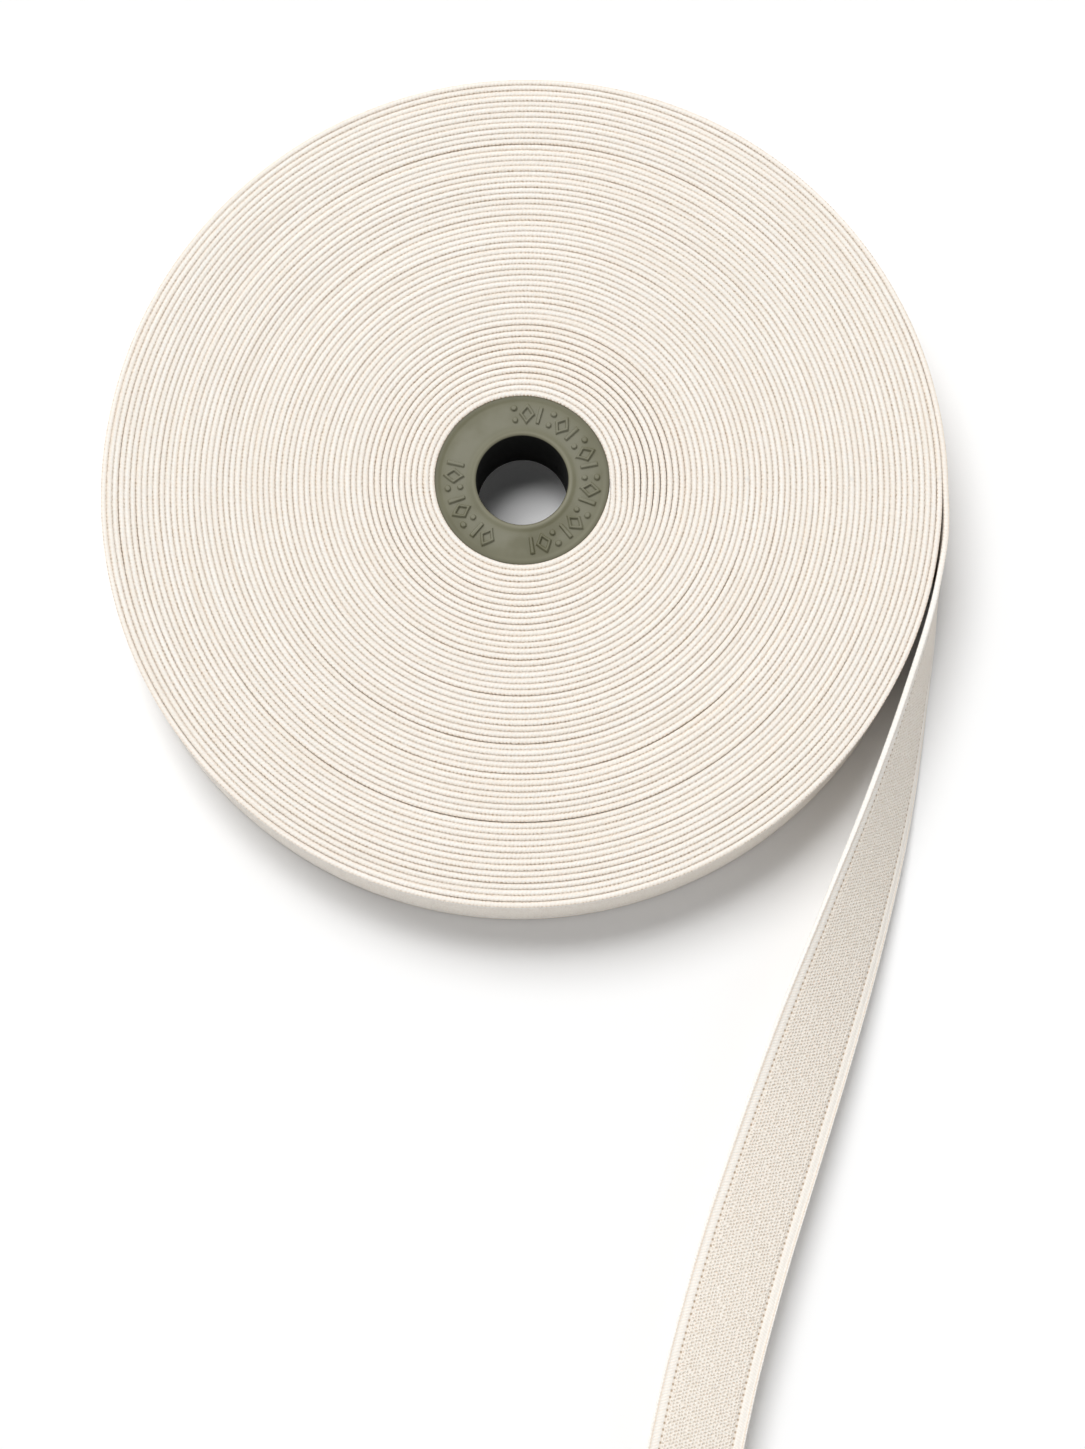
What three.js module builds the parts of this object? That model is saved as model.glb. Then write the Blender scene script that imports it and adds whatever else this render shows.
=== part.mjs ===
// A trade roll of flat woven elastic, wound on a moulded plastic core and lying on its side.
// The loose end leaves the outermost turn, twists from standing on its edge to lying flat, and lands.
// Units are millimetres, +Z is up, and the origin is at the middle of the bounding box's underside.
import * as THREE from "three";
import { mergeVertices } from "three/addons/utils/BufferGeometryUtils.js";

// Driving dimensions
const ELASTIC_WIDTH = 25; // and so the height of the roll as it lies
const ELASTIC_THICKNESS = 1.5;
const TURN_PITCH = 1.6; // from one turn to the next: the elastic and the slack between turns
const TURNS = 58;
const CORE_RADIUS = 23.8;
const BORE_RADIUS = 12.5; // takes a 25 mm dispenser spindle
const CORE_RECESS = 0.2; // the core's face lies this far below the elastic's edges
const CORE_LIP = 1.2; // rounding where the face turns into the bore
const CORE_CHAMFER = 0.5;
const CLEARANCE = 0.3; // between pieces that touch
const EDGE_ROUNDING = 0.5; // of the elastic's woven edges

const ROLL_RADIUS = CORE_RADIUS + TURNS * TURN_PITCH;
const LAST_TURN_FALL = ELASTIC_THICKNESS + CLEARANCE; // leaves room for the loose end's root

const ROLL_STEPS = 96; // round the roll
const CORE_STEPS = 64;
const LOOSE_END_STEPS = 66;

// Places where the winding has parted, from the core outwards. Each is deepest at one angle and closes
// up within its reach on both sides. The band of turns outside it stands proud by its lift.
const PARTINGS = [
  { radius: 44, angle: 95, reach: 100, depth: 0.5, lift: 0.3 },
  { radius: 72, angle: 80, reach: 130, depth: 0.6, lift: 0.1 },
  { radius: 82, angle: 290, reach: 90, depth: 0.8, lift: 0.4 },
  { radius: 94, angle: 175, reach: 110, depth: 0.5, lift: 0.2 },
  { radius: 99, angle: 110, reach: 80, depth: 0.9, lift: 0.4 },
  { radius: 111, angle: 45, reach: 70, depth: 0.8, lift: 0.2 },
];
const INNER_BAND_LIFT = 0.1;
const PARTING_SHOULDER = 0.9; // from the bottom of a parting to either side's top

// The loose end's middle line, seen from above with the roll's axis at 0, 0. Its height is that of the
// middle of the width, and its twist is 0 standing on edge and 90 lying flat.
const LOOSE_END = [
  { x: 115.85, y: -0.7, height: 12.5, twist: 0 },
  { x: 115.3, y: -15, height: 12.6, twist: 1 },
  { x: 113.6, y: -30, height: 12.6, twist: 6 },
  { x: 107, y: -60, height: 12.6, twist: 19 },
  { x: 98.9, y: -90, height: 12.6, twist: 35 },
  { x: 89, y: -120, height: 12.6, twist: 51 },
  { x: 78.4, y: -150, height: 12.6, twist: 66 },
  { x: 67.9, y: -180, height: 12.6, twist: 76 },
  { x: 57.8, y: -210, height: 12.6, twist: 82 },
  { x: 49.2, y: -240, height: 12.5, twist: 84 },
  { x: 43.6, y: -265, height: 11.6, twist: 86 },
  { x: 39.5, y: -288, height: 5.6, twist: 90 },
  { x: 36.8, y: -309, height: 0.75, twist: 90 },
  { x: 35, y: -330, height: 0.75, twist: 90 },
];

const TURN = 2 * Math.PI;
const UP = new THREE.Vector3(0, 0, 1);

const elastic = new THREE.MeshStandardMaterial({
  name: "elastic",
  color: 0xefe9de,
  roughness: 0.85,
  metalness: 0,
});
const plastic = new THREE.MeshStandardMaterial({
  name: "core_plastic",
  color: 0x7f7e6e,
  roughness: 0.45,
  metalness: 0,
});

// A closed surface through rings of points, each with the same number. The rings run either round a
// closed loop or from one flat end cap to the other.
function skin(rings, looped) {
  const size = rings[0].length;
  const position = rings.flat().flatMap((p) => [p.x, p.y, p.z]);
  const index = [];
  const last = looped ? rings.length : rings.length - 1;
  for (let i = 0; i < last; i++) {
    const here = i * size;
    const next = ((i + 1) % rings.length) * size;
    for (let j = 0; j < size; j++) {
      const k = (j + 1) % size;
      index.push(here + j, here + k, next + k, here + j, next + k, next + j);
    }
  }
  if (!looped) {
    const end = (rings.length - 1) * size;
    for (let j = 1; j < size - 1; j++) {
      index.push(0, j + 1, j, end, end + j, end + j + 1);
    }
  }
  const geometry = new THREE.BufferGeometry();
  geometry.setAttribute("position", new THREE.Float32BufferAttribute(position, 3));
  geometry.setIndex(index);
  const merged = mergeVertices(geometry);
  merged.computeVertexNormals();
  return merged;
}

// How open a parting is at an angle: 1 at its deepest, falling smoothly to 0 at its reach.
function openness(parting, angle) {
  const away = THREE.MathUtils.euclideanModulo(
    THREE.MathUtils.radToDeg(angle) - parting.angle + 180, 360) - 180;
  const share = Math.min(1, Math.abs(away) / parting.reach);
  return Math.cos((share * Math.PI) / 2) ** 2;
}

// The roll's section at one angle, as radius and height, out over the top and back along the floor.
function rollSection(angle, outer) {
  const inner = CORE_RADIUS + CLEARANCE;
  const section = [
    [inner, 0],
    [inner, ELASTIC_WIDTH + INNER_BAND_LIFT - EDGE_ROUNDING],
    [inner + EDGE_ROUNDING, ELASTIC_WIDTH + INNER_BAND_LIFT],
  ];
  let inside = ELASTIC_WIDTH + INNER_BAND_LIFT;
  for (const parting of PARTINGS) {
    const outside = ELASTIC_WIDTH + parting.lift;
    const bottom = (inside + outside) / 2 - parting.depth * openness(parting, angle);
    section.push(
      [parting.radius - PARTING_SHOULDER, inside],
      [parting.radius, bottom],
      [parting.radius + PARTING_SHOULDER, outside],
    );
    inside = outside;
  }
  section.push(
    [outer - EDGE_ROUNDING, inside],
    [outer, inside - EDGE_ROUNDING],
    [outer, EDGE_ROUNDING],
    [outer - EDGE_ROUNDING, 0],
  );
  return section;
}

// The wound elastic. Its radius falls steadily round the last turn, from where the loose end leaves
// back to the step that the loose end stands against.
function woundElastic() {
  const step = CLEARANCE / ROLL_RADIUS; // the angle that the step's face takes up
  const rings = [];
  for (let i = 0; i <= ROLL_STEPS; i++) {
    const share = i / ROLL_STEPS;
    const angle = share * (TURN - step);
    const section = rollSection(angle, ROLL_RADIUS - LAST_TURN_FALL * share);
    rings.push(section.map(([radius, height]) => new THREE.Vector3(
      radius * Math.cos(angle), radius * Math.sin(angle), height)));
  }
  return skin(rings, true);
}

// The elastic's own section, across its width and through its thickness, with its edges rounded off.
function elasticSection() {
  const half = ELASTIC_WIDTH / 2;
  const side = ELASTIC_THICKNESS / 2;
  const cut = EDGE_ROUNDING;
  return [
    [-half + cut, -side],
    [half - cut, -side],
    [half, -side + cut],
    [half, side - cut],
    [half - cut, side],
    [-half + cut, side],
    [-half, side - cut],
    [-half, -side + cut],
  ];
}

// A smooth curve through one vector for each row of the loose end's table.
function throughRows(vectorOf) {
  return new THREE.CatmullRomCurve3(LOOSE_END.map(vectorOf), false, "centripetal");
}

// The loose end: the elastic's section swept along its middle line and turned by its twist.
function looseEnd() {
  const middle = throughRows((row) => new THREE.Vector3(row.x, row.y, row.height));
  const twists = throughRows((row) => new THREE.Vector3(row.twist, row.y, 0));
  const rings = [];
  for (let i = 0; i <= LOOSE_END_STEPS; i++) {
    const share = i / LOOSE_END_STEPS;
    const at = middle.getPoint(share);
    at.z = Math.max(at.z, ELASTIC_THICKNESS / 2);
    const along = middle.getTangent(share);
    const twist = THREE.MathUtils.degToRad(THREE.MathUtils.clamp(twists.getPoint(share).x, 0, 90));
    const outward = new THREE.Vector3().crossVectors(UP, along).normalize();
    const over = new THREE.Vector3().crossVectors(along, outward).normalize();
    const across = outward.clone().multiplyScalar(Math.sin(twist)).addScaledVector(over, -Math.cos(twist));
    const face = outward.clone().multiplyScalar(Math.cos(twist)).addScaledVector(over, Math.sin(twist));
    rings.push(elasticSection().map(([a, b]) => at.clone()
      .addScaledVector(across, a).addScaledVector(face, b)));
  }
  return skin(rings, false);
}

// The core: a thick moulded ring with a rounded lip round its bore and a small chamfer outside.
function core() {
  const top = ELASTIC_WIDTH - CORE_RECESS;
  const lip = [0, 1, 2, 3].map((i) => {
    const turn = (i / 3) * (Math.PI / 2);
    return new THREE.Vector2(
      BORE_RADIUS + CORE_LIP * (1 - Math.sin(turn)), top - CORE_LIP * (1 - Math.cos(turn)));
  });
  const foot = lip.map((p) => new THREE.Vector2(p.x, top - p.y)).reverse();
  const outer = [
    new THREE.Vector2(CORE_RADIUS - CORE_CHAMFER, 0),
    new THREE.Vector2(CORE_RADIUS, CORE_CHAMFER),
    new THREE.Vector2(CORE_RADIUS, top - CORE_CHAMFER),
    new THREE.Vector2(CORE_RADIUS - CORE_CHAMFER, top),
  ];
  const profile = [...foot, ...outer, ...lip, foot[0].clone()];
  const ring = new THREE.LatheGeometry(profile, CORE_STEPS);
  ring.rotateX(Math.PI / 2); // the lathe turns about Y, and the core about Z
  return ring;
}

function piece(name, geometry, material) {
  const mesh = new THREE.Mesh(geometry, material);
  mesh.name = name;
  return mesh;
}

const roll = new THREE.Group();
roll.add(
  piece("core", core(), plastic),
  piece("elastic_roll", woundElastic(), elastic),
  piece("loose_end", looseEnd(), elastic),
);

// The origin goes to the middle of the underside.
const bounds = new THREE.Box3().setFromObject(roll);
const middle = bounds.getCenter(new THREE.Vector3());
roll.position.set(-middle.x, -middle.y, -bounds.min.z);

export default roll;
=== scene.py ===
"""A trade roll of flat woven elastic, lying on its side with its loose end run out over a white floor."""
import math

import bpy
import numpy as np
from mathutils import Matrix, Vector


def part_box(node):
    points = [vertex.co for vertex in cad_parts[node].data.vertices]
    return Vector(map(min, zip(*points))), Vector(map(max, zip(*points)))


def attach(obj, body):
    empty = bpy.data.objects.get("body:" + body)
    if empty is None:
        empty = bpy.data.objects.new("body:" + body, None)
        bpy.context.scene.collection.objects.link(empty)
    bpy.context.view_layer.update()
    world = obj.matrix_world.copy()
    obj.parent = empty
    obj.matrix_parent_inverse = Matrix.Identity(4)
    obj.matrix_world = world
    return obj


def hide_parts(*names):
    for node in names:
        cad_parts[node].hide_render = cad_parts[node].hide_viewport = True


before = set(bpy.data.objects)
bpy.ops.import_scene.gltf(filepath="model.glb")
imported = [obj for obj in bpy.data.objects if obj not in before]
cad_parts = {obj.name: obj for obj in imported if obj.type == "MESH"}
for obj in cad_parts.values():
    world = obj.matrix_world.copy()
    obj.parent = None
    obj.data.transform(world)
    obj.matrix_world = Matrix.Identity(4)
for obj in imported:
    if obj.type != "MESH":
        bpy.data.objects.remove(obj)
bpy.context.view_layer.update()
MM = 0.001


# The core: a thick ring moulded in grey-green polypropylene, on which the elastic is wound. A rounded lip
# runs round its bore, and its face is slightly dished. The raised marks are plain bars, lozenges and
# pips, as an index ring has them.

low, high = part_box("core")
AXIS_X = (low.x + high.x) / 2
AXIS_Y = (low.y + high.y) / 2
CORE_TOP = high.z
CORE_RADIUS = (high.x - low.x) / 2
BORE_RADIUS = 12.5 * MM
ROUNDING_STEPS = 7
LIP_ROUNDING = 0.9 * MM
DISH_DEPTH = 0.14 * MM
DISH_START = BORE_RADIUS + 1.3 * MM
DISH_END = CORE_RADIUS - 0.7 * MM
DISH_SLOPE = 1.1 * MM
RIM_ROUNDING = 0.22 * MM
CORE_STEPS = 768
CORE_FACE_STEPS = 62
MARK_RADIUS = 18.7 * MM
MARK_HEIGHT = 0.7 * MM
MARK_STEP = 10.5  # degrees
MARK_SOFTNESS = 0.3 * MM
BAR_REACH = 2.5 * MM  # from the middle of a mark to its end, towards the bore and the rim
BAR_WIDTH = 1.3 * MM
LOZENGE_REACH = 2.3 * MM
LOZENGE_SPREAD = 1.7 * MM  # from its middle to its corner, round the ring
LOZENGE_STROKE = 1.0 * MM
LOZENGE_LEAN = 0.8  # of its spread, across one of its slanting sides
PIP_RADIUS = 0.9 * MM
PIP_OFFSET = 1.7 * MM
BODY_DARK = (0.120, 0.115, 0.068, 1)
BODY_LIGHT = (0.152, 0.147, 0.093, 1)
CLOUD_GREY = (0.178, 0.173, 0.123, 1)
# Painted highlight: the rounded lip round the bore is coloured lighter, as where it catches the light.
LIP_HIGHLIGHT = (0.215, 0.205, 0.145, 1)
# Painted shade in the narrow ring where the core's rim meets the innermost turn.
RIM_PAINTED_SHADE = (0.092, 0.087, 0.052, 1)
# Painted shade: the bore's wall is coloured nearly black, standing in for its deep shade.
BORE_PAINTED_SHADE = (0.0025, 0.0025, 0.0015, 1)
CLOUD_SIZE = 75.0  # of the noises, in features for each metre
GRAIN_SIZE = 2600.0
GRAIN_DEPTH = 0.12 * MM
# Where the marks run, in degrees from +X, with bare plastic between the two stretches.
MARK_STRETCHES = [
    {"start": -82.0, "end": 97.0},
    {"start": 166.0, "end": 246.0},
]


def smooth(x, start, end):
    """0 before the start and 1 past the end, with the cubic 3t^2 - 2t^3 between them."""
    t = np.clip((x - start) / (end - start), 0, 1)
    return t * t * (3 - 2 * t)


def ring_section(face_steps):
    """Radius and height of the ring's closed section: up the bore, round the lip, out over the dished
    face, down the outside and back under. Every rounding is a quarter circle."""
    quarter = np.linspace(0, math.pi / 2, ROUNDING_STEPS)
    lip_r = BORE_RADIUS + LIP_ROUNDING * (1 - np.cos(quarter))
    lip_z = CORE_TOP - LIP_ROUNDING * (1 - np.sin(quarter))
    face_r = np.linspace(BORE_RADIUS + LIP_ROUNDING, CORE_RADIUS - RIM_ROUNDING, face_steps + 2)[1:-1]
    past_lip = smooth(face_r, DISH_START, DISH_START + DISH_SLOPE)
    short_of_rim = smooth(-face_r, -DISH_END, DISH_SLOPE - DISH_END)
    face_z = CORE_TOP - DISH_DEPTH * past_lip * short_of_rim
    rim_r = CORE_RADIUS - RIM_ROUNDING * (1 - np.sin(quarter))
    rim_z = CORE_TOP - RIM_ROUNDING * (1 - np.cos(quarter))
    top_r = np.concatenate([lip_r, face_r, rim_r])
    top_z = np.concatenate([lip_z, face_z, rim_z])
    under = np.r_[len(top_r) - 1:len(top_r) - ROUNDING_STEPS - 1:-1, ROUNDING_STEPS - 1:-1:-1]
    return np.concatenate([top_r, top_r[under]]), np.concatenate([top_z, CORE_TOP - top_z[under]])


def stroke(distance, half_width):
    """1 within half the width of a line and 0 outside it, with a soft shoulder."""
    return smooth(half_width - distance, 0, MARK_SOFTNESS)


def raised_marks(radius, angle):
    """Height of the marks at a radius and angle. A bar is the product of two soft steps, along and across
    it. A lozenge is a stroke along the line where the sum of both distances, each as a share of its own
    reach, is 1. A pip is a soft step of the distance from its middle."""
    height = np.zeros(np.broadcast(radius, angle).shape)
    for stretch in MARK_STRETCHES:
        places = np.arange(stretch["start"], stretch["end"], MARK_STEP)
        for k, place in enumerate(places):
            away = (angle - math.radians(place) + math.pi) % (2 * math.pi) - math.pi
            across = np.abs(away) * MARK_RADIUS
            along = np.abs(radius - MARK_RADIUS)
            if k % 3 == 0:
                mark = stroke(along, BAR_REACH) * stroke(across, BAR_WIDTH / 2)
            elif k % 3 == 1:
                ring = np.abs(along / LOZENGE_REACH + across / LOZENGE_SPREAD - 1)
                mark = stroke(ring * LOZENGE_SPREAD * LOZENGE_LEAN, LOZENGE_STROKE / 2)
            else:
                mark = stroke(np.hypot(along - PIP_OFFSET, across), PIP_RADIUS)
            height = np.maximum(height, mark)
    return MARK_HEIGHT * height


def loft(name, points, u=None, v=None, ring=False):
    """Makes a closed piece of rows of points, points[i, j], where each row is a closed loop.

    Quad (i, j) joins places j and j + 1 of row i to the same places of row i + 1. A ring's last row meets
    its first. Otherwise one face fills each end. u, one for each row, and v, one for each place and one
    more for the way back to the first, become the UV map."""
    rows, around = points.shape[:2]
    i, j = np.meshgrid(np.arange(rows if ring else rows - 1), np.arange(around), indexing="ij")
    near, far, beside = i * around, (i + 1) % rows * around, (j + 1) % around
    quads = np.stack([near + j, near + beside, far + beside, far + j], axis=-1).reshape(-1, 4)
    faces = quads.tolist()
    if not ring:
        faces += [list(range(around))[::-1], [(rows - 1) * around + k for k in range(around)]]
    mesh = bpy.data.meshes.new(name)
    mesh.from_pydata(points.reshape(-1, 3).tolist(), [], faces)
    if u is not None:
        flat_u = np.stack([u[i], u[i], u[i + 1], u[i + 1]], axis=-1)
        flat_v = np.stack([v[j], v[j + 1], v[j + 1], v[j]], axis=-1)
        sides = np.stack([flat_u, flat_v], axis=-1).reshape(-1, 2)
        start_cap = np.stack([np.full(around, u[0]), v[:-1][::-1]], axis=-1)
        end_cap = np.stack([np.full(around, u[-1]), v[:-1]], axis=-1)
        corners = np.concatenate([sides, start_cap, end_cap])
        mesh.uv_layers.new(name="elastic").data.foreach_set("uv", corners.astype(np.float32).ravel())
    mesh.shade_smooth()
    mesh.set_sharp_from_angle(angle=math.radians(50))
    piece = bpy.data.objects.new(name, mesh)
    bpy.context.scene.collection.objects.link(piece)
    return piece


class Wire:
    """One output socket of a finish. Arithmetic on it, with numbers or other wires, adds Math nodes."""

    def __init__(self, finish, socket):
        self.finish = finish
        self.socket = socket

    def math(self, operation, other=None):
        inputs = {0: self} if other is None else {0: self, 1: other}
        return self.finish.node("ShaderNodeMath", {"operation": operation}, inputs)

    def __add__(self, other):
        return self.math("ADD", other)

    def __sub__(self, other):
        return self.math("SUBTRACT", other)

    def __mul__(self, other):
        return self.math("MULTIPLY", other)

    def __rsub__(self, other):
        return self * -1 + other

    __radd__ = __add__
    __rmul__ = __mul__

    def __abs__(self):
        return self.math("ABSOLUTE")

    def wave(self, pitch):
        """A cosine wave of the value, with one crest at each multiple of the pitch."""
        return (self * (2 * math.pi / pitch)).math("COSINE")


class Finish:
    """A material being built round one Principled shader. node() adds any node and returns its output."""

    def __init__(self, name, constants):
        self.material = bpy.data.materials.new(name)
        self.material.use_nodes = True
        self.tree = self.material.node_tree
        self.shader = self.tree.nodes["Principled BSDF"]
        for socket, value in constants.items():
            self.shader.inputs[socket].default_value = value

    def node(self, kind, settings=None, inputs=None, output=0):
        made = self.tree.nodes.new(kind)
        for setting, value in (settings or {}).items():
            setattr(made, setting, value)
        for socket, value in (inputs or {}).items():
            if isinstance(value, Wire):
                self.tree.links.new(value.socket, made.inputs[socket])
            else:
                made.inputs[socket].default_value = value
        return Wire(self, made.outputs[output])

    def step(self, value, low, high):
        """0 where value is at low and 1 where it is at high, eased at both ends."""
        ends = {"Value": value, "From Min": low, "From Max": high}
        return self.node("ShaderNodeMapRange", {"interpolation_type": "SMOOTHSTEP"}, ends)

    def band(self, value, start, full, fade, end):
        """1 where value is between full and fade, eased to 0 at the start and at the end."""
        return self.step(value, start, full) * self.step(value, end, fade)

    def mix(self, share, first, second):
        """The first colour where share is 0 and the second where it is 1."""
        return self.node("ShaderNodeMix", {"data_type": "RGBA"}, {0: share, 6: first, 7: second}, output=2)

    def noise(self, vector, scale, detail=2.0, roughness=0.5):
        sockets = {"Vector": vector, "Scale": scale, "Detail": detail, "Roughness": roughness}
        return self.node("ShaderNodeTexNoise", None, sockets)

    def bump(self, height, distance, strength=1.0):
        sockets = {"Height": height, "Distance": distance, "Strength": strength}
        return self.node("ShaderNodeBump", None, sockets)

    def feed(self, socket, wire):
        self.tree.links.new(wire.socket, self.shader.inputs[socket])


def moulded_plastic():
    """Satin grey-green plastic, cloudy where it cooled unevenly, with a painted highlight on the lip,
    painted shade along the rim where the elastic meets it, and nearly black painted shade in the bore."""
    finish = Finish("moulded_plastic", {"Specular IOR Level": 0.3})
    place = finish.node("ShaderNodeTexCoord", output=3)
    flat = finish.node("ShaderNodeVectorMath", {"operation": "MULTIPLY_ADD"},
                       {0: place, 1: (1, 1, 0), 2: (-AXIS_X, -AXIS_Y, 0)})
    radius = finish.node("ShaderNodeVectorMath", {"operation": "LENGTH"}, {0: flat}, output=1)
    cloud = finish.noise(place, CLOUD_SIZE, 3.0)
    grain = finish.noise(place, GRAIN_SIZE, 2.0)
    middle = finish.band(radius, DISH_START, DISH_START + 2.5 * MM,
                         CORE_RADIUS - 4.5 * MM, CORE_RADIUS - 1.0 * MM)
    lip = finish.step(radius, BORE_RADIUS + 1.5 * MM, BORE_RADIUS + 0.7 * MM)
    rim = finish.step(radius, CORE_RADIUS - 1.2 * MM, CORE_RADIUS - 0.4 * MM)
    bore = finish.step(radius, BORE_RADIUS + 0.30 * MM, BORE_RADIUS + 0.02 * MM)
    body = finish.mix(finish.step(cloud, 0.3, 0.7), BODY_DARK, BODY_LIGHT)
    body = finish.mix(middle * finish.step(cloud, 0.35, 0.65), body, CLOUD_GREY)
    # Painted highlight on the lip.
    body = finish.mix(lip * 0.6, body, LIP_HIGHLIGHT)
    # Painted shade along the rim.
    body = finish.mix(rim * 0.5, body, RIM_PAINTED_SHADE)
    # Nearly black painted shade in the bore.
    finish.feed("Base Color", finish.mix(bore, body, BORE_PAINTED_SHADE))
    finish.feed("Roughness", 0.42 + 0.2 * cloud + 0.35 * bore)
    finish.feed("Normal", finish.bump(0.35 * grain + cloud, GRAIN_DEPTH, 0.5))
    return finish.material


section_r, section_z = ring_section(CORE_FACE_STEPS)
core_angle = np.linspace(0, 2 * math.pi, CORE_STEPS, endpoint=False)[:, None]
on_top = section_z > CORE_TOP / 2
core_z = section_z + on_top * raised_marks(section_r[None, :], core_angle)
core_points = np.stack([
    AXIS_X + section_r * np.cos(core_angle),
    AXIS_Y + section_r * np.sin(core_angle),
    core_z,
], axis=-1)
core = loft("core_ring", core_points, ring=True)
core.data.materials.append(moulded_plastic())
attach(core, "root")
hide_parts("core")


# The wound turns: one length of flat cotton-covered elastic, 25 mm wide and 1.5 mm thick, wound round the
# core under light tension and held by its own friction. Only its woven edges show. Here and there the
# turns have parted, and the bands of turns stand at slightly different heights.

ELASTIC_WIDTH = 25 * MM
ELASTIC_THICKNESS = 1.5 * MM
TURN_PITCH = 1.6 * MM
TURNS = 58
OUTER_MIDDLE = 115.85 * MM  # radius of the elastic's middle where the loose end leaves
INNER_MIDDLE = OUTER_MIDDLE - TURN_PITCH * (TURNS - 1)
EDGE_DEPTH = 0.26 * MM  # of the rounded edge, from its crest to where both faces are full thickness apart
EDGE_CORD = 1.25 * MM  # from the edge to the furrow behind its cord
FURROW = 0.15 * MM
FURROW_WIDTH = 0.35 * MM
STITCH_LINE = 3.2 * MM  # from the edge
STITCH_ARC_IN_ROLL = STITCH_LINE + 0.4 * MM  # measured round the section from the edge's crest
STITCH_GROOVE = 0.12 * MM
STITCH_GROOVE_WIDTH = 0.3 * MM
STITCH_PITCH = 1.65 * MM
WOUND_STEP = 2.7 * MM
WIDEST_STEP = math.radians(4)
BAND_SHOULDER = 0.9 * MM
SPREAD = 4  # turns on each side that give way where two have parted
STEP_OVER = 0.08  # of a turn, in which each inner turn climbs over the start of the first
EVEN_FROM = 13  # turns from the core, where that climb has evened out
START_THIN = 0.1  # thickness that is left at the start, which is pressed flat against the core
SHIFT_X = 0.3 * MM  # how far the outermost turn lies off the core's centre
SHIFT_Y = -1.15 * MM
OVAL = 0.97 * MM
OVAL_TURN = math.radians(12)  # of its narrow way, down from +X
WOBBLE = 0.015 * MM
UNEVEN_HEIGHT = 0.055  # millimetres, for each of the slow waves along the top edge
PRESSED = 1.05  # thickness in the roll, where the turns swell until they touch
WEAVE_COLUMN = 0.86 * MM
WEAVE_PICK = 0.97 * MM
LOOP_PITCH = 1.07 * MM  # of the binding thread, round the edge cord
THREAD_PITCH = 0.82 * MM  # of the crosswise threads on the selvedge
WANDER = 1.5 * MM  # how far the weave strays from its lines
RELIEF = 0.14 * MM
LUMP_SIZE = 520.0  # of the noises, in features for each metre
YARN_SIZE = 900.0
TONE_SIZE = 30.0
DOT_SHADE_PATCH_SIZE = 14.0
TOP_WHITE = (0.875, 0.845, 0.80, 1)
TOP_WARM = (0.83, 0.78, 0.715, 1)
FACE_CREAM = (0.815, 0.75, 0.665, 1)
# Painted light: a lighter cream for the face on the roll, which brightens the roll's outer wall where it
# stands in shade.
WALL_CREAM_PAINTED_LIGHT = (0.92, 0.85, 0.76, 1)
# Tan for the painted shade on the sides of each turn's edge and in the furrow behind the cord, and for the
# faint twill on the edge.
TAN_SHADE_AND_TWILL = (0.785, 0.655, 0.53, 1)
# Painted shade in the gap between neighbouring turns, broken into dots at the binding thread's pitch.
DOT_SHADE = (0.45, 0.335, 0.23, 1)
# Painted shade in the weave's pinholes, and a faint tan tone in lumps over the middle.
PINHOLE_SHADE_AND_TONE = (0.63, 0.51, 0.39, 1)
# Painted highlight: on the raised threads of the weave, and on the loose end's edge cord.
HIGHLIGHT_WHITE = (0.92, 0.90, 0.865, 1)
# Painted shade in the stitch holes and, faintly, along the stitched line.
STITCH_HOLE_SHADE = (0.47, 0.36, 0.26, 1)
EASE_OFF = 40 * MM  # in which the painted shade between turns at the edges fades once the loose end leaves
GLOW_IN_ROLL = 0.6  # share of the light that scatters inside the yarns
GLOW_LOOSE = 0.25

# The bands of turns, from the core outwards: where each starts and how far it stands proud.
BANDS = [
    {"radius": 24.0, "lift": 0.1},
    {"radius": 44.0, "lift": 0.3},
    {"radius": 72.0, "lift": 0.1},
    {"radius": 82.0, "lift": 0.4},
    {"radius": 94.0, "lift": 0.2},
    {"radius": 99.0, "lift": 0.4},
    {"radius": 111.0, "lift": 0.2},
]
# Where two turns have parted: the turn's number from the outside, the angle of the widest place and how
# far the parting reaches to both sides, in degrees, and its width in millimetres.
PARTINGS = [
    {"turn": 2, "angle": 105, "reach": 70, "width": 0.11},
    {"turn": 3, "angle": 178, "reach": 60, "width": 0.12},
    {"turn": 5, "angle": 300, "reach": 60, "width": 0.09},
    {"turn": 6, "angle": 185, "reach": 60, "width": 0.09},
    {"turn": 9, "angle": 310, "reach": 50, "width": 0.09},
    {"turn": 12, "angle": 95, "reach": 70, "width": 0.15},
    {"turn": 13, "angle": 88, "reach": 55, "width": 0.12},
    {"turn": 14, "angle": 268, "reach": 70, "width": 0.14},
    {"turn": 18, "angle": 120, "reach": 60, "width": 0.08},
    {"turn": 22, "angle": 295, "reach": 75, "width": 0.14},
    {"turn": 26, "angle": 90, "reach": 60, "width": 0.11},
    {"turn": 27, "angle": 255, "reach": 50, "width": 0.12},
    {"turn": 28, "angle": 322, "reach": 45, "width": 0.11},
    {"turn": 31, "angle": 88, "reach": 70, "width": 0.12},
    {"turn": 33, "angle": 315, "reach": 50, "width": 0.11},
    {"turn": 35, "angle": 265, "reach": 50, "width": 0.10},
    {"turn": 38, "angle": 325, "reach": 50, "width": 0.10},
    {"turn": 41, "angle": 80, "reach": 55, "width": 0.09},
    {"turn": 41, "angle": 250, "reach": 60, "width": 0.10},
    {"turn": 45, "angle": 90, "reach": 50, "width": 0.07},
    {"turn": 52, "angle": 120, "reach": 60, "width": 0.05},
]
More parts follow.
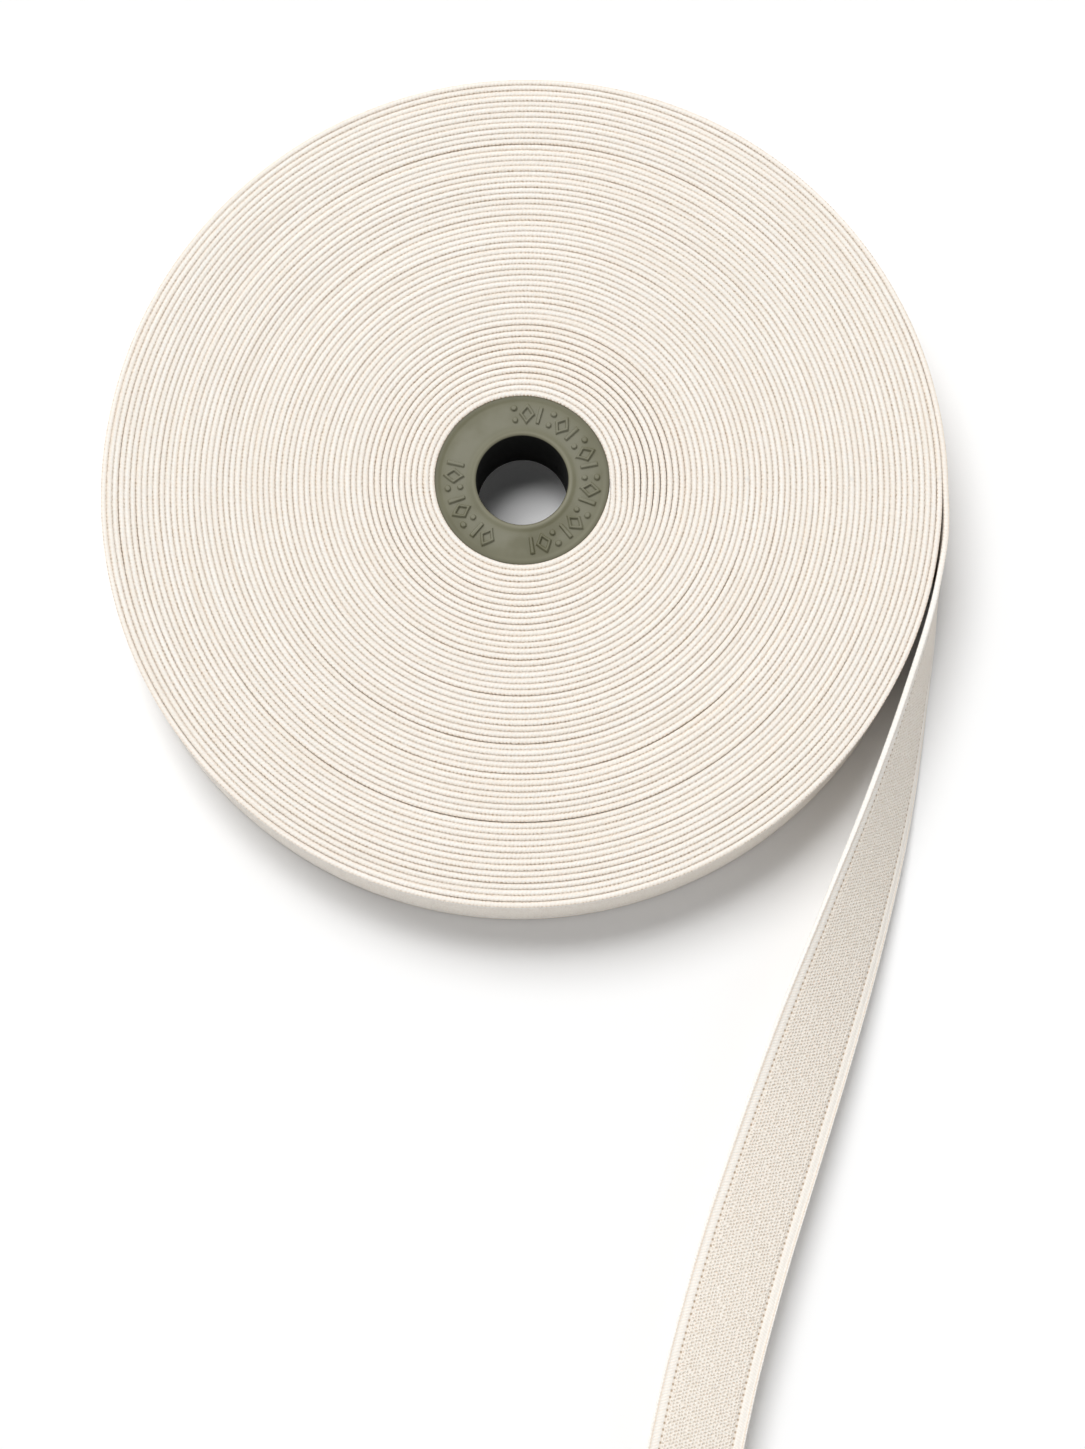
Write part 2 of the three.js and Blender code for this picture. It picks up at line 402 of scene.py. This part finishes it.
# The turns as three pieces, which follow on from one another: numbers of turns in from the outside.
WOUND_PIECES = [
    {"name": "inner_turns", "first": 57, "last": 34},
    {"name": "middle_turns", "first": 34, "last": 16},
    {"name": "outer_turns", "first": 16, "last": 1},
]


def bell(x, middle, width):
    """exp of minus the square of the distance from the middle over the width."""
    return np.exp(-((x - middle) / width) ** 2)


def half_thickness(from_edge):
    """Half the elastic's thickness at a distance from its edge: a parabola over the edge, a shallow
    furrow behind the edge's cord, and another along the stitched line."""
    rounded = ELASTIC_THICKNESS / 2 * np.sqrt(np.clip(from_edge / EDGE_DEPTH, 0, 1))
    furrow = FURROW * bell(from_edge, EDGE_CORD, FURROW_WIDTH)
    stitched = STITCH_GROOVE * bell(from_edge, STITCH_LINE, STITCH_GROOVE_WIDTH)
    return rounded - furrow - stitched


def elastic_section(from_edge):
    """The elastic's closed section for a list of distances from its edge, from 0 to the middle.

    Returns the place across the width, the place through the thickness, and the distance round the section
    from the top edge's crest, one more than there are points. It runs down the back face and returns up
    the front one."""
    edge_to_edge = np.concatenate([from_edge, ELASTIC_WIDTH - from_edge[-2::-1]])
    across = edge_to_edge - ELASTIC_WIDTH / 2
    loop = np.concatenate([across[:-1], across[:0:-1]])
    side = np.concatenate([-np.ones(len(across) - 1), np.ones(len(across) - 1)])
    through = half_thickness(ELASTIC_WIDTH / 2 - np.abs(loop)) * side
    closed = np.stack([np.append(loop, loop[0]), np.append(through, through[0])], axis=-1)
    return loop, through, run_of(closed)


def run_of(path):
    """Distance along a path to each of its points."""
    return np.concatenate([[0], np.cumsum(np.linalg.norm(np.diff(path, axis=0), axis=1))])


def sweep(path, twist, across, through):
    """Points of the elastic along a path. Upright, its width runs down from the top edge and its face
    looks out to the left of the path, and the twist turns both about the path."""
    along = np.gradient(path, axis=0)
    along /= np.linalg.norm(along, axis=1, keepdims=True)
    outward = np.cross([0.0, 0.0, 1.0], along)
    outward /= np.linalg.norm(outward, axis=1, keepdims=True)
    over = np.cross(along, outward)
    turned = twist[:, None]
    width_axis = np.sin(turned) * outward - np.cos(turned) * over
    face_axis = np.cos(turned) * outward + np.sin(turned) * over
    return (path[:, None, :] + across[None, :, None] * width_axis[:, None, :]
            + through[:, :, None] * face_axis[:, None, :])


def parted(back):
    """How far the turns lie from their even spiral, for each angle back from where the loose end leaves.

    A parting pushes the turns outside it outwards and those inside it inwards, by half its width at its
    widest place, less by a cosine towards its reach and less by each turn further from it."""
    shift = np.zeros_like(back)
    for row in PARTINGS:
        widest = 2 * math.pi * row["turn"] + math.radians(row["angle"])
        lap = np.round((back - widest) / (2 * math.pi))
        away = np.abs(back - widest - lap * 2 * math.pi)
        share = np.clip(away / math.radians(row["reach"]), 0, 1)
        further = np.where(lap >= 0, lap, -1 - lap)
        side = np.where(lap >= 0, -1, 1)
        push = row["width"] / 2 * MM * np.clip(1 - further / SPREAD, 0, 1)
        shift += side * push * np.cos(share * math.pi / 2) ** 2
    return shift


def proud(radius, back):
    """How far the top edge stands above the elastic's width: its band's lift, which changes over a
    shoulder between bands, and three slow waves that don't close on themselves after a turn."""
    lift = np.full_like(radius, BANDS[0]["lift"])
    for inner, outer in zip(BANDS, BANDS[1:]):
        start = outer["radius"] * MM
        rise = smooth(radius, start - BAND_SHOULDER, start + BAND_SHOULDER)
        lift += (outer["lift"] - inner["lift"]) * rise
    waves = np.sin(1.37 * back) + np.sin(0.61 * back + 2.0) + 0.7 * np.sin(2.83 * back + 1.1)
    return (lift + UNEVEN_HEIGHT * waves) * MM


def spiral(back):
    """The middle of the elastic on the roll, for each angle back from where the loose end leaves, and its
    thickness there as a share of the full one.

    The radius falls by one pitch a turn. Near the core each turn keeps its radius instead, and climbs on
    to the turn below only where that one starts, pressed thin. The whole roll is slightly oval and lies
    off the core's centre, both by amounts that grow from nothing at the core."""
    laps = TURNS - 1 - back / (2 * math.pi)
    part = laps % 1
    hug = 1 - smooth(laps, 1, EVEN_FROM)
    level = np.where(laps < 1, 0, laps - hug * (1 + part - smooth(part, 0, STEP_OVER)))
    thickness = START_THIN + (1 - START_THIN) * smooth(laps, 0, STEP_OVER)
    outward = level / (TURNS - 1) * (SHIFT_X * np.cos(back) + SHIFT_Y * np.sin(back)
                                    - OVAL * np.cos(2 * (back + OVAL_TURN)))
    wobble = np.sin(7.3 * back) + 0.8 * np.sin(11.9 * back + 1.0) + 0.6 * np.sin(17.7 * back + 2.2)
    radius = INNER_MIDDLE + TURN_PITCH * level + parted(back) + outward + WOBBLE * wobble
    radius -= (1 - thickness) * ELASTIC_THICKNESS / 2
    height = ELASTIC_WIDTH / 2 + proud(radius, back)
    path = np.stack([AXIS_X + radius * np.cos(back), AXIS_Y + radius * np.sin(back), height], axis=-1)
    return path, thickness


def turn_angles(first, last, step):
    """Angles back from the loose end, from one number of turns in to another, a step of length apart but
    never further than the widest step, which the turns near the core take. On an even spiral the length
    runs as the square of the angle's distance from the spiral's own centre, so the angles are the square
    roots of even steps."""
    pole = OUTER_MIDDLE / TURN_PITCH * 2 * math.pi
    start, end = pole - 2 * math.pi * first, pole - 2 * math.pi * last
    length = (end ** 2 - start ** 2) / 2 * TURN_PITCH / (2 * math.pi)
    even = np.sqrt(np.linspace(start ** 2, end ** 2, round(length / step) + 1))
    widest = np.linspace(start, end, round((end - start) / WIDEST_STEP) + 1)
    met = even[np.argmax(np.diff(even) < WIDEST_STEP)]
    return pole - np.concatenate([widest[widest < met - WIDEST_STEP / 2], even[even >= met]])


def woven_elastic(name, quarter, stitch_arc, glow, leaves_at=None):
    """Cream elastic: a pillowed weave with pinholes in the middle, painted shade in the pinholes and a
    painted highlight on the raised threads, a line of stitch holes near each edge with painted shade in
    them, selvedges with slanting threads, and an edge cord with a faint tan twill, painted shade in the
    furrow behind it, and painted shade at its foot, tan and dotted at the binding thread's pitch, where
    the turns meet on the roll. Waves along and across it make the threads, noise makes them stray, and
    eased steps of the distance from the edge part the one from the other.

    quarter is the distance round the section from an edge's crest to the middle, stitch_arc that to the
    stitched line, and glow the share of light that scatters. On the roll the edges carry painted shade
    where the turns meet and the face a lighter cream that is painted light; past leaves_at, the distance
    along at which the loose end leaves, both fade and the edge cord takes a painted highlight."""
    finish = Finish(name, {"Roughness": 0.9, "Sheen Weight": 0.1, "Sheen Roughness": 0.5,
                           "Specular IOR Level": 0.2, "Subsurface Weight": glow,
                           "Subsurface Radius": (0.8, 0.75, 0.7), "Subsurface Scale": 1.2 * MM})
    chart = finish.node("ShaderNodeUVMap", {"uv_map": "elastic"})
    u = finish.node("ShaderNodeSeparateXYZ", None, {0: chart}, output=0)
    v = finish.node("ShaderNodeSeparateXYZ", None, {0: chart}, output=1)
    from_edge = v.math("PINGPONG", quarter)
    lumps = finish.noise(chart, LUMP_SIZE, 3.0)
    uneven = finish.noise(chart, YARN_SIZE, 3.0)
    tone = finish.noise(chart, TONE_SIZE, 3.0)
    # A slow noise that sets, patch by patch, how strong the painted shade of the dots is.
    dot_shade_patches = finish.step(finish.noise(chart, DOT_SHADE_PATCH_SIZE, 2.0), 0.38, 0.62)
    drift = (lumps - 0.5) * WANDER
    on_roll = 1 if leaves_at is None else finish.step(u, leaves_at + EASE_OFF, leaves_at)
    column = quarter * 4 / round(quarter * 4 / WEAVE_COLUMN / 2) / 2
    weave = (v + drift).wave(column * 2) * (u + drift).wave(WEAVE_PICK)
    ridge = 0.5 - 0.5 * (v + drift).wave(column)
    middle = finish.step(from_edge, stitch_arc + 0.25 * MM, stitch_arc + 0.6 * MM)
    pinhole = finish.step(weave, 0.3, 0.95) * middle * finish.step(uneven, 0.3, 0.6)
    stitch = finish.step(abs(from_edge - stitch_arc), 0.42 * MM, 0.12 * MM)
    hole = stitch * finish.step(u.wave(STITCH_PITCH), 0.0, 0.9)
    selvedge = (1 - middle) * (1 - stitch) * finish.step(from_edge, 1.15 * MM, 1.5 * MM)
    threads = (u + 0.5 * from_edge + drift * 0.3).wave(THREAD_PITCH)
    loops = (u + drift).wave(LOOP_PITCH)
    twill = (u + 0.8 * v + drift * 0.6).wave(LOOP_PITCH)
    edge = finish.step(from_edge, 1.1 * MM, 0.8 * MM)
    foot = finish.band(from_edge, 0.10 * MM, 0.80 * MM, 1.15 * MM, 1.5 * MM)
    deep = finish.band(from_edge, 0.48 * MM, 0.68 * MM, 1.1 * MM, 1.4 * MM)
    furrow = finish.step(abs(from_edge - EDGE_CORD), 0.26 * MM, 0.06 * MM)
    dots = deep * finish.step(loops, -0.3, 0.8) * finish.step(uneven, 0.36, 0.58)
    cream = finish.mix(finish.step(tone + 0.3 * (uneven - 0.5), 0.3, 0.7), TOP_WARM, TOP_WHITE)
    cream = finish.mix(edge * finish.step(twill + 2.0 * (uneven - 0.5), 0.1, 1.0) * 0.2, cream, TAN_SHADE_AND_TWILL)
    # Painted highlight on the loose end's edge cord.
    cream = finish.mix(edge * (1 - on_roll) * 0.5, cream, HIGHLIGHT_WHITE)
    # On the roll the face takes the lighter cream, which is painted light.
    face = finish.mix(on_roll, FACE_CREAM, WALL_CREAM_PAINTED_LIGHT)
    cream = finish.mix(finish.step(from_edge, 1.0 * MM, 1.3 * MM), cream, face)
    # Painted highlight on the weave's raised threads between the pinholes.
    cream = finish.mix(middle * ridge * finish.step(weave, 0.2, -0.6) * 0.9, cream, HIGHLIGHT_WHITE)
    cream = finish.mix(selvedge * (0.45 + 0.4 * finish.step(threads, -0.4, 0.7)), cream, TOP_WHITE)
    # Painted shade, tan: in the furrow behind the cord, and on the roll over the foot of each edge where
    # the turns meet.
    cream = finish.mix(furrow * (0.35 + 0.4 * uneven), cream, TAN_SHADE_AND_TWILL)
    cream = finish.mix(foot * (0.35 + 0.4 * uneven) * on_roll, cream, TAN_SHADE_AND_TWILL)
    # Dots of painted shade where the turns meet, faint on the loose end and stronger in patches on the
    # roll.
    cream = finish.mix(dots * (0.1 + (0.3 + 0.6 * dot_shade_patches) * on_roll), cream, DOT_SHADE)
    cream = finish.mix(middle * finish.step(lumps, 0.45, 0.65) * 0.1, cream, PINHOLE_SHADE_AND_TONE)
    # Painted shade in the pinholes.
    cream = finish.mix(pinhole * 0.65, cream, PINHOLE_SHADE_AND_TONE)
    # Painted shade in the stitch holes and, faintly, along the stitched line.
    cream = finish.mix(stitch * 0.08 + hole * 0.92, cream, STITCH_HOLE_SHADE)
    finish.feed("Base Color", cream)
    relief = (middle * (0.65 * ridge - 0.55 * weave) + pinhole * -0.45 + threads * selvedge * 0.16
              + twill * edge * 0.16 + loops * deep * -0.3 + hole * -0.4 + uneven * 0.7
              + lumps * middle * 0.7)
    finish.feed("Normal", finish.bump(relief, RELIEF, 1.0))
    return finish.material


edge_places = EDGE_DEPTH * np.linspace(0, 1, 5) ** 2
wound_across, wound_through, wound_round = elastic_section(np.append(edge_places, ELASTIC_WIDTH / 2))
quarter_round = wound_round[-1] / 4
wound_run = 0.0
for row in WOUND_PIECES:
    back = turn_angles(row["first"], row["last"], WOUND_STEP)
    path, thickness = spiral(back)
    run = wound_run + run_of(path)
    points = sweep(path, np.zeros(len(path)), wound_across, wound_through * PRESSED * thickness[:, None])
    turns = loft(row["name"], points, run, wound_round)
    turns.data.materials.append(woven_elastic(row["name"], quarter_round, STITCH_ARC_IN_ROLL, GLOW_IN_ROLL))
    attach(turns, "root")
    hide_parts("elastic_roll")
    wound_run = run[-1]


# The outermost turn and the loose end, in one length with the rest. The loose end leaves the roll at
# angle 0 standing on edge, twists until its outer face looks up, and comes down to the floor.

TURN_STEP = 0.825 * MM
LOOSE_STEP = STITCH_PITCH / 4
STITCH_DIP = 0.16 * MM
STITCH_DIP_WIDTH = 0.35 * MM
# Where the loose end's section has points past its rounded edge, in millimetres from the edge.
FACE_PLACES = [0.8, 1.05, 1.3, 1.7, 2.5, 2.95, 3.2, 3.5, 4.2, 12.5]

# The loose end's middle line in millimetres, with the roll's axis at 0, 0, from just after it leaves. Its
# height is that of the middle of the width, and its twist is 0 standing on edge and 90 lying flat.
LOOSE_END = [
    {"x": 115.3, "y": -15, "height": 12.6, "twist": 1},
    {"x": 113.6, "y": -30, "height": 12.6, "twist": 6},
    {"x": 107, "y": -60, "height": 12.6, "twist": 19},
    {"x": 98.9, "y": -90, "height": 12.6, "twist": 35},
    {"x": 89, "y": -120, "height": 12.6, "twist": 51},
    {"x": 78.4, "y": -150, "height": 12.6, "twist": 66},
    {"x": 67.9, "y": -180, "height": 12.6, "twist": 76},
    {"x": 57.8, "y": -210, "height": 12.6, "twist": 82},
    {"x": 49.2, "y": -240, "height": 12.5, "twist": 84},
    {"x": 43.6, "y": -265, "height": 11.6, "twist": 86},
    {"x": 39.5, "y": -288, "height": 5.6, "twist": 90},
    {"x": 36.8, "y": -309, "height": 0.75, "twist": 90},
    {"x": 35, "y": -330, "height": 0.75, "twist": 90},
]


def through_rows(rows, run, at):
    """Values at given distances along, cubic between each two rows. The slope at a row is that of the
    parabola through it and its neighbours."""
    slopes = np.gradient(rows, run, axis=0)
    k = np.clip(np.searchsorted(run, at, side="right") - 1, 0, len(run) - 2)
    span = (run[k + 1] - run[k])[:, None]
    t = ((at - run[k])[:, None]) / span
    value = (2 * t ** 3 - 3 * t ** 2 + 1) * rows[k] + (3 * t ** 2 - 2 * t ** 3) * rows[k + 1]
    return value + span * ((t ** 3 - 2 * t ** 2 + t) * slopes[k] + (t ** 3 - t ** 2) * slopes[k + 1])


turn_path, _ = spiral(turn_angles(1, 0, TURN_STEP))
loose_path = np.array([[row["x"], row["y"], row["height"]] for row in LOOSE_END]) * MM
loose_path += [AXIS_X, AXIS_Y, 0]
joined = np.concatenate([turn_path, loose_path])
twists = np.concatenate([np.zeros(len(turn_path)), np.radians([row["twist"] for row in LOOSE_END])])
joined_run = run_of(joined)
leaves_at = joined_run[len(turn_path) - 1]
places_along = np.concatenate([
    np.arange(0, leaves_at, TURN_STEP),
    np.arange(leaves_at, joined_run[-1], LOOSE_STEP),
])
smoothed = through_rows(np.column_stack([joined, twists]), joined_run, places_along)
outer_path = smoothed[:, :3]
outer_path[:, 2] = np.maximum(outer_path[:, 2], ELASTIC_THICKNESS / 2)
outer_run = run_of(outer_path)

outer_places = np.concatenate([edge_places, np.array(FACE_PLACES) * MM])
outer_across, outer_through, outer_round = elastic_section(outer_places)
stitched = bell(ELASTIC_WIDTH / 2 - np.abs(outer_across), STITCH_LINE, STITCH_DIP_WIDTH)
stitch_wave = 0.5 + 0.5 * np.cos(2 * math.pi / STITCH_PITCH * (wound_run + outer_run))
dips = STITCH_DIP * stitched * stitch_wave[:, None] * np.sign(outer_through)
outer_twist = np.clip(smoothed[:, 3], 0, math.pi / 2)
outer_points = sweep(outer_path, outer_twist, outer_across, outer_through - dips)
outer_turn = loft("outermost_turn_and_loose_end", outer_points, wound_run + outer_run, outer_round)
stitch_round = float(np.interp(STITCH_LINE, outer_places, outer_round[:len(outer_places)]))
outer_turn.data.materials.append(woven_elastic("loose_elastic", outer_round[-1] / 4, stitch_round,
                                               GLOW_LOOSE, wound_run + leaves_at))
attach(outer_turn, "root")
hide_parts("elastic_roll", "loose_end")


# The floor is a seamless white sweep, so wide that its far edge stays out of every view.

FLOOR_REACH = 60.0  # from the middle to each side, in metres
FLOOR_WHITE = (0.87, 0.87, 0.87, 1)
floor_corners = [(x * FLOOR_REACH, y * FLOOR_REACH, 0) for x, y in [(-1, -1), (1, -1), (1, 1), (-1, 1)]]
floor_mesh = bpy.data.meshes.new("floor")
floor_mesh.from_pydata(floor_corners, [], [(0, 1, 2, 3)])
floor = bpy.data.objects.new("floor", floor_mesh)
bpy.context.scene.collection.objects.link(floor)
white = Finish("white_floor", {"Base Color": FLOOR_WHITE, "Roughness": 0.9, "Specular IOR Level": 0.0})
floor.data.materials.append(white.material)


# Light and camera: two soft lights from the upper left over a white surround that is dim straight
# overhead, and the camera almost straight above, a little towards the loose end.

SURROUND_STRENGTH = 0.60
OVERHEAD_SHARE = 0.12
DIM_FROM = 0.75  # sine of the elevation where the surround starts to dim
world = bpy.data.worlds.new("surround")
world.use_nodes = True
sky_nodes = world.node_tree.nodes
sky_links = world.node_tree.links
direction = sky_nodes.new("ShaderNodeTexCoord")
height_of = sky_nodes.new("ShaderNodeSeparateXYZ")
sky_links.new(direction.outputs["Generated"], height_of.inputs[0])
shade = sky_nodes.new("ShaderNodeMapRange")
shade.interpolation_type = "SMOOTHSTEP"
shade.inputs["From Min"].default_value = DIM_FROM
shade.inputs["From Max"].default_value = 1
shade.inputs["To Min"].default_value = SURROUND_STRENGTH
shade.inputs["To Max"].default_value = SURROUND_STRENGTH * OVERHEAD_SHARE
sky_links.new(height_of.outputs["Z"], shade.inputs["Value"])
sky_links.new(shade.outputs["Result"], sky_nodes["Background"].inputs["Strength"])
sky_nodes["Background"].inputs["Color"].default_value = (1, 1, 1, 1)
bpy.context.scene.world = world

# The two soft lights: degrees above the floor, degrees round from +X, strength, and width in degrees.
LAMPS = [
    {"name": "broad", "elevation": 58.5, "azimuth": 123, "strength": 2.06, "width": 31},
    {"name": "steep", "elevation": 69, "azimuth": 102, "strength": 0.44, "width": 14},
]
for row in LAMPS:
    light = bpy.data.lights.new(row["name"], "SUN")
    light.energy = row["strength"]
    light.angle = math.radians(row["width"])
    lamp = bpy.data.objects.new(row["name"], light)
    lamp.rotation_euler = (0, math.radians(90 - row["elevation"]), math.radians(row["azimuth"]))
    bpy.context.scene.collection.objects.link(lamp)

CAMERA_ASIDE = 5.55 * MM  # from the roll's axis, towards the side where the loose end leaves
CAMERA_BACK = 216.0 * MM  # from the roll's axis, towards the loose end
CAMERA_HEIGHT = 784.25 * MM
CAMERA_TILT = 11.03  # degrees from straight down
camera_data = bpy.data.cameras.new("camera")
camera_data.sensor_fit = "VERTICAL"
camera_data.sensor_height = 36
camera_data.lens = 71.74
camera = bpy.data.objects.new("camera", camera_data)
camera.location = (AXIS_X + CAMERA_ASIDE, AXIS_Y - CAMERA_BACK, CAMERA_HEIGHT)
camera.rotation_euler = (math.radians(CAMERA_TILT), 0, 0)
bpy.context.scene.collection.objects.link(camera)
bpy.context.scene.camera = camera
bpy.context.scene.view_settings.view_transform = "Standard"
